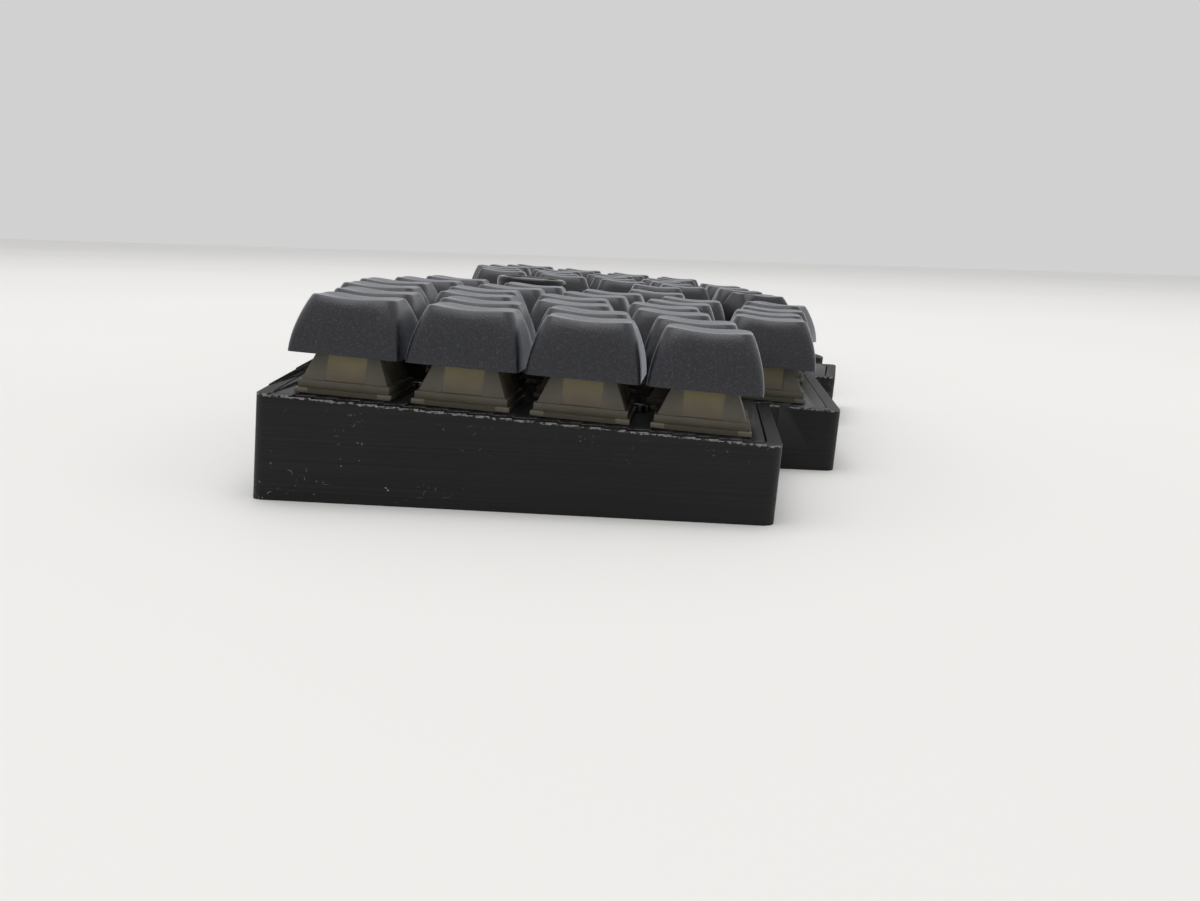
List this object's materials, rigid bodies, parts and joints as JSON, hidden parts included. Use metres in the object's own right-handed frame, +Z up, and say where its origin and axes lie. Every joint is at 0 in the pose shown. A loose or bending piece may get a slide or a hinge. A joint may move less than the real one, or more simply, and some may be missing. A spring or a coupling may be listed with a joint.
{
  "type": "split keyboard",
  "caption": "Split ergonomic keyboard in two tilted free-standing halves, with staggered sprung keys, thumb keys and one rotary knob.",
  "frame": {"origin": "on the table, under the middle of the two halves together", "axes": "+X to the typist's right, +Y to the rear, +Z up from the table"},
  "size_m": [0.3062, 0.1186, 0.033],
  "materials": {
    "keycap_plastic": "fine textured, dyed through",
    "case_plastic": "printed in fine level layers",
    "plate_plastic": "printed, satin",
    "board_laminate": "black solder mask over glass laminate",
    "switch_housing": "milky translucent",
    "spring_steel": "drawn wire",
    "contact_metal": "stamped and plated",
    "socket_plastic": "moulded",
    "diode_black": "moulded",
    "port_steel": "stamped",
    "jack_plastic": "moulded",
    "screw_steel": "satin",
    "insert_brass": "turned and knurled",
    "encoder_metal": "die cast",
    "plunger_plastic": "moulded",
    "shaft_metal": "turned",
    "knob_plastic": "polished"
  },
  "bodies": {
    "root": {"case_left": "case_plastic", "case_right": "case_plastic", "circuit_board_left": "board_laminate", "circuit_board_right": "board_laminate", "controller_boards": "board_laminate", "diodes": "diode_black", "encoder_body": "encoder_metal", "link_jacks": "jack_plastic", "plate_screws": "screw_steel", "switch_bases_left": "switch_housing", "switch_bases_right": "switch_housing", "switch_contacts": "contact_metal", "switch_plate_left": "plate_plastic", "switch_plate_right": "plate_plastic", "switch_sockets": "socket_plastic", "switch_springs": "spring_steel", "switch_tops_left": "switch_housing", "switch_tops_right": "switch_housing", "threaded_inserts": "insert_brass", "usb_ports": "port_steel"},
    "click": {"encoder_plunger": "plunger_plastic"},
    "turning_knob": {"encoder_shaft": "shaft_metal", "encoder_knob": "knob_plastic"},
    "left_column_1_row_1_body": {"key_left_column_1_row_1": "keycap_plastic"},
    "left_column_1_row_2_body": {"key_left_column_1_row_2": "keycap_plastic"},
    "left_column_1_row_3_body": {"key_left_column_1_row_3": "keycap_plastic"},
    "left_column_1_row_4_body": {"key_left_column_1_row_4": "keycap_plastic"},
    "left_column_2_row_1_body": {"key_left_column_2_row_1": "keycap_plastic"},
    "left_column_2_row_2_body": {"key_left_column_2_row_2": "keycap_plastic"},
    "left_column_2_row_3_body": {"key_left_column_2_row_3": "keycap_plastic"},
    "left_column_2_row_4_body": {"key_left_column_2_row_4": "keycap_plastic"},
    "left_column_3_row_1_body": {"key_left_column_3_row_1": "keycap_plastic"},
    "left_column_3_row_2_body": {"key_left_column_3_row_2": "keycap_plastic"},
    "left_column_3_row_3_body": {"key_left_column_3_row_3": "keycap_plastic"},
    "left_column_3_row_4_body": {"key_left_column_3_row_4": "keycap_plastic"},
    "left_column_4_row_1_body": {"key_left_column_4_row_1": "keycap_plastic"},
    "left_column_4_row_2_body": {"key_left_column_4_row_2": "keycap_plastic"},
    "left_column_4_row_3_body": {"key_left_column_4_row_3": "keycap_plastic"},
    "left_column_4_row_4_body": {"key_left_column_4_row_4": "keycap_plastic"},
    "left_column_5_row_1_body": {"key_left_column_5_row_1": "keycap_plastic"},
    "left_column_5_row_2_body": {"key_left_column_5_row_2": "keycap_plastic"},
    "left_column_5_row_3_body": {"key_left_column_5_row_3": "keycap_plastic"},
    "left_column_5_row_4_body": {"key_left_column_5_row_4": "keycap_plastic"},
    "left_column_6_row_1_body": {"key_left_column_6_row_1": "keycap_plastic"},
    "left_column_6_row_2_body": {"key_left_column_6_row_2": "keycap_plastic"},
    "left_column_6_row_3_body": {"key_left_column_6_row_3": "keycap_plastic"},
    "left_column_6_row_4_body": {"key_left_column_6_row_4": "keycap_plastic"},
    "left_inner_body": {"key_left_inner": "keycap_plastic"},
    "left_thumb_1_body": {"key_left_thumb_1": "keycap_plastic"},
    "left_thumb_2_body": {"key_left_thumb_2": "keycap_plastic"},
    "left_thumb_3_body": {"key_left_thumb_3": "keycap_plastic"},
    "left_thumb_4_body": {"key_left_thumb_4": "keycap_plastic"},
    "right_inner_body": {"key_right_inner": "keycap_plastic"},
    "right_column_1_body": {"keys_right_column_1": "keycap_plastic"},
    "right_column_2_body": {"keys_right_column_2": "keycap_plastic"},
    "right_column_3_body": {"keys_right_column_3": "keycap_plastic"},
    "right_column_4_body": {"keys_right_column_4": "keycap_plastic"},
    "right_column_5_body": {"keys_right_column_5": "keycap_plastic"},
    "right_column_6_body": {"keys_right_column_6": "keycap_plastic"},
    "right_thumb_body": {"keys_right_thumb": "keycap_plastic"}
  },
  "joints": [
    {"name": "press_key_left_column_1_row_1", "type": "slide", "parent": "root", "child": "left_column_1_row_1_body", "axis": [0.0027, 0.0566, -0.9984], "range_m": [0, 0.004], "stiffness_N_per_m": 55, "springref_m": -0.007, "deforming": ["switch_springs"]},
    {"name": "press_key_left_column_1_row_2", "type": "slide", "parent": "root", "child": "left_column_1_row_2_body", "axis": [0.0027, 0.0566, -0.9984], "range_m": [0, 0.004], "stiffness_N_per_m": 55, "springref_m": -0.007},
    {"name": "press_key_left_column_1_row_3", "type": "slide", "parent": "root", "child": "left_column_1_row_3_body", "axis": [0.0027, 0.0566, -0.9984], "range_m": [0, 0.004], "stiffness_N_per_m": 55, "springref_m": -0.007},
    {"name": "press_key_left_column_1_row_4", "type": "slide", "parent": "root", "child": "left_column_1_row_4_body", "axis": [0.0027, 0.0566, -0.9984], "range_m": [0, 0.004], "stiffness_N_per_m": 55, "springref_m": -0.007},
    {"name": "press_key_left_column_2_row_1", "type": "slide", "parent": "root", "child": "left_column_2_row_1_body", "axis": [0.0027, 0.0566, -0.9984], "range_m": [0, 0.004], "stiffness_N_per_m": 55, "springref_m": -0.007},
    {"name": "press_key_left_column_2_row_2", "type": "slide", "parent": "root", "child": "left_column_2_row_2_body", "axis": [0.0027, 0.0566, -0.9984], "range_m": [0, 0.004], "stiffness_N_per_m": 55, "springref_m": -0.007},
    {"name": "press_key_left_column_2_row_3", "type": "slide", "parent": "root", "child": "left_column_2_row_3_body", "axis": [0.0027, 0.0566, -0.9984], "range_m": [0, 0.004], "stiffness_N_per_m": 55, "springref_m": -0.007},
    {"name": "press_key_left_column_2_row_4", "type": "slide", "parent": "root", "child": "left_column_2_row_4_body", "axis": [0.0027, 0.0566, -0.9984], "range_m": [0, 0.004], "stiffness_N_per_m": 55, "springref_m": -0.007},
    {"name": "press_key_left_column_3_row_1", "type": "slide", "parent": "root", "child": "left_column_3_row_1_body", "axis": [0.0027, 0.0566, -0.9984], "range_m": [0, 0.004], "stiffness_N_per_m": 55, "springref_m": -0.007},
    {"name": "press_key_left_column_3_row_2", "type": "slide", "parent": "root", "child": "left_column_3_row_2_body", "axis": [0.0027, 0.0566, -0.9984], "range_m": [0, 0.004], "stiffness_N_per_m": 55, "springref_m": -0.007},
    {"name": "press_key_left_column_3_row_3", "type": "slide", "parent": "root", "child": "left_column_3_row_3_body", "axis": [0.0027, 0.0566, -0.9984], "range_m": [0, 0.004], "stiffness_N_per_m": 55, "springref_m": -0.007},
    {"name": "press_key_left_column_3_row_4", "type": "slide", "parent": "root", "child": "left_column_3_row_4_body", "axis": [0.0027, 0.0566, -0.9984], "range_m": [0, 0.004], "stiffness_N_per_m": 55, "springref_m": -0.007},
    {"name": "press_key_left_column_4_row_1", "type": "slide", "parent": "root", "child": "left_column_4_row_1_body", "axis": [0.0027, 0.0566, -0.9984], "range_m": [0, 0.004], "stiffness_N_per_m": 55, "springref_m": -0.007},
    {"name": "press_key_left_column_4_row_2", "type": "slide", "parent": "root", "child": "left_column_4_row_2_body", "axis": [0.0027, 0.0566, -0.9984], "range_m": [0, 0.004], "stiffness_N_per_m": 55, "springref_m": -0.007},
    {"name": "press_key_left_column_4_row_3", "type": "slide", "parent": "root", "child": "left_column_4_row_3_body", "axis": [0.0027, 0.0566, -0.9984], "range_m": [0, 0.004], "stiffness_N_per_m": 55, "springref_m": -0.007},
    {"name": "press_key_left_column_4_row_4", "type": "slide", "parent": "root", "child": "left_column_4_row_4_body", "axis": [0.0027, 0.0566, -0.9984], "range_m": [0, 0.004], "stiffness_N_per_m": 55, "springref_m": -0.007},
    {"name": "press_key_left_column_5_row_1", "type": "slide", "parent": "root", "child": "left_column_5_row_1_body", "axis": [0.0027, 0.0566, -0.9984], "range_m": [0, 0.004], "stiffness_N_per_m": 55, "springref_m": -0.007},
    {"name": "press_key_left_column_5_row_2", "type": "slide", "parent": "root", "child": "left_column_5_row_2_body", "axis": [0.0027, 0.0566, -0.9984], "range_m": [0, 0.004], "stiffness_N_per_m": 55, "springref_m": -0.007},
    {"name": "press_key_left_column_5_row_3", "type": "slide", "parent": "root", "child": "left_column_5_row_3_body", "axis": [0.0027, 0.0566, -0.9984], "range_m": [0, 0.004], "stiffness_N_per_m": 55, "springref_m": -0.007},
    {"name": "press_key_left_column_5_row_4", "type": "slide", "parent": "root", "child": "left_column_5_row_4_body", "axis": [0.0027, 0.0566, -0.9984], "range_m": [0, 0.004], "stiffness_N_per_m": 55, "springref_m": -0.007},
    {"name": "press_key_left_column_6_row_1", "type": "slide", "parent": "root", "child": "left_column_6_row_1_body", "axis": [0.0027, 0.0566, -0.9984], "range_m": [0, 0.004], "stiffness_N_per_m": 55, "springref_m": -0.007},
    {"name": "press_key_left_column_6_row_2", "type": "slide", "parent": "root", "child": "left_column_6_row_2_body", "axis": [0.0027, 0.0566, -0.9984], "range_m": [0, 0.004], "stiffness_N_per_m": 55, "springref_m": -0.007},
    {"name": "press_key_left_column_6_row_3", "type": "slide", "parent": "root", "child": "left_column_6_row_3_body", "axis": [0.0027, 0.0566, -0.9984], "range_m": [0, 0.004], "stiffness_N_per_m": 55, "springref_m": -0.007},
    {"name": "press_key_left_column_6_row_4", "type": "slide", "parent": "root", "child": "left_column_6_row_4_body", "axis": [0.0027, 0.0566, -0.9984], "range_m": [0, 0.004], "stiffness_N_per_m": 55, "springref_m": -0.007},
    {"name": "press_key_left_inner", "type": "slide", "parent": "root", "child": "left_inner_body", "axis": [0.0027, 0.0566, -0.9984], "range_m": [0, 0.004], "stiffness_N_per_m": 55, "springref_m": -0.007},
    {"name": "press_key_left_thumb_1", "type": "slide", "parent": "root", "child": "left_thumb_1_body", "axis": [0.0027, 0.0566, -0.9984], "range_m": [0, 0.004], "stiffness_N_per_m": 55, "springref_m": -0.007},
    {"name": "press_key_left_thumb_2", "type": "slide", "parent": "root", "child": "left_thumb_2_body", "axis": [0.0027, 0.0566, -0.9984], "range_m": [0, 0.004], "stiffness_N_per_m": 55, "springref_m": -0.007},
    {"name": "press_key_left_thumb_3", "type": "slide", "parent": "root", "child": "left_thumb_3_body", "axis": [0.0027, 0.0566, -0.9984], "range_m": [0, 0.004], "stiffness_N_per_m": 55, "springref_m": -0.007},
    {"name": "press_key_left_thumb_4", "type": "slide", "parent": "root", "child": "left_thumb_4_body", "axis": [0.0027, 0.0566, -0.9984], "range_m": [0, 0.004], "stiffness_N_per_m": 55, "springref_m": -0.007},
    {"name": "press_key_right_inner", "type": "slide", "parent": "root", "child": "right_inner_body", "axis": [-0.0027, 0.0566, -0.9984], "range_m": [0, 0.004], "stiffness_N_per_m": 55, "springref_m": -0.007},
    {"name": "press_keys_right_column_1", "type": "slide", "parent": "root", "child": "right_column_1_body", "axis": [-0.0027, 0.0566, -0.9984], "range_m": [0, 0.004], "stiffness_N_per_m": 220, "springref_m": -0.007},
    {"name": "press_keys_right_column_2", "type": "slide", "parent": "root", "child": "right_column_2_body", "axis": [-0.0027, 0.0566, -0.9984], "range_m": [0, 0.004], "stiffness_N_per_m": 220, "springref_m": -0.007},
    {"name": "press_keys_right_column_3", "type": "slide", "parent": "root", "child": "right_column_3_body", "axis": [-0.0027, 0.0566, -0.9984], "range_m": [0, 0.004], "stiffness_N_per_m": 220, "springref_m": -0.007},
    {"name": "press_keys_right_column_4", "type": "slide", "parent": "root", "child": "right_column_4_body", "axis": [-0.0027, 0.0566, -0.9984], "range_m": [0, 0.004], "stiffness_N_per_m": 220, "springref_m": -0.007},
    {"name": "press_keys_right_column_5", "type": "slide", "parent": "root", "child": "right_column_5_body", "axis": [-0.0027, 0.0566, -0.9984], "range_m": [0, 0.004], "stiffness_N_per_m": 220, "springref_m": -0.007},
    {"name": "press_keys_right_column_6", "type": "slide", "parent": "root", "child": "right_column_6_body", "axis": [-0.0027, 0.0566, -0.9984], "range_m": [0, 0.004], "stiffness_N_per_m": 220, "springref_m": -0.007},
    {"name": "press_keys_right_thumb", "type": "slide", "parent": "root", "child": "right_thumb_body", "axis": [-0.0027, 0.0566, -0.9984], "range_m": [0, 0.004], "stiffness_N_per_m": 220, "springref_m": -0.007},
    {"name": "press_encoder_knob", "type": "slide", "parent": "root", "child": "click", "axis": [0.0027, 0.0566, -0.9984], "range_m": [0, 0.0005], "stiffness_N_per_m": 3000, "springref_m": -0.0005},
    {"name": "turn_encoder_knob", "type": "hinge", "parent": "click", "child": "turning_knob", "pos_m": [-0.0189, 0.02311, 0.02085], "axis": [-0.0027, -0.0566, 0.9984], "continuous": true}
  ]
}
